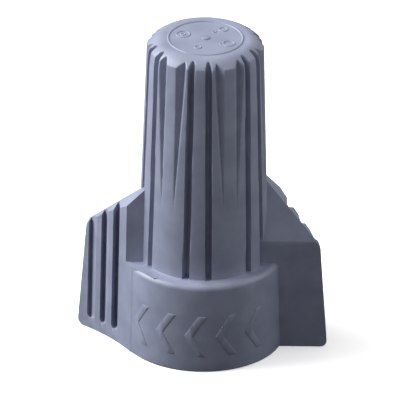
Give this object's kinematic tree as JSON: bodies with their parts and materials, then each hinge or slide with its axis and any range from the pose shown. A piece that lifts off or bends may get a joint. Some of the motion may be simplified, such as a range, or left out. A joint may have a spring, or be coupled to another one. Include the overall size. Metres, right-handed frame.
{
  "type": "winged twist-on wire connector",
  "caption": "Winged twist-on wire connector: a fluted plastic cap with a round skirt and swept wings over a conical square-wire spring.",
  "frame": {"origin": "centre of the skirt's open end, on the axis, in the plane that the connector stands on", "axes": "+Z along the axis towards the closed end; X across the two wings; Y across their plain faces"},
  "size_m": [0.027, 0.0176, 0.036],
  "materials": {
    "shell_plastic": "satin moulded blue-grey polypropylene",
    "spring_steel": "bright zinc-plated drawn wire"
  },
  "bodies": {
    "shell": {"shell": "shell_plastic"},
    "spring": {"spring": "spring_steel"}
  },
  "joints": [
    {"name": "spring_unwind", "type": "hinge", "parent": "shell", "child": "spring", "pos_m": [0, 0, 0.0214], "axis": [0, 0, 1], "range_deg": [0, 110], "stiffness_Nm_per_rad": 0.1}
  ]
}
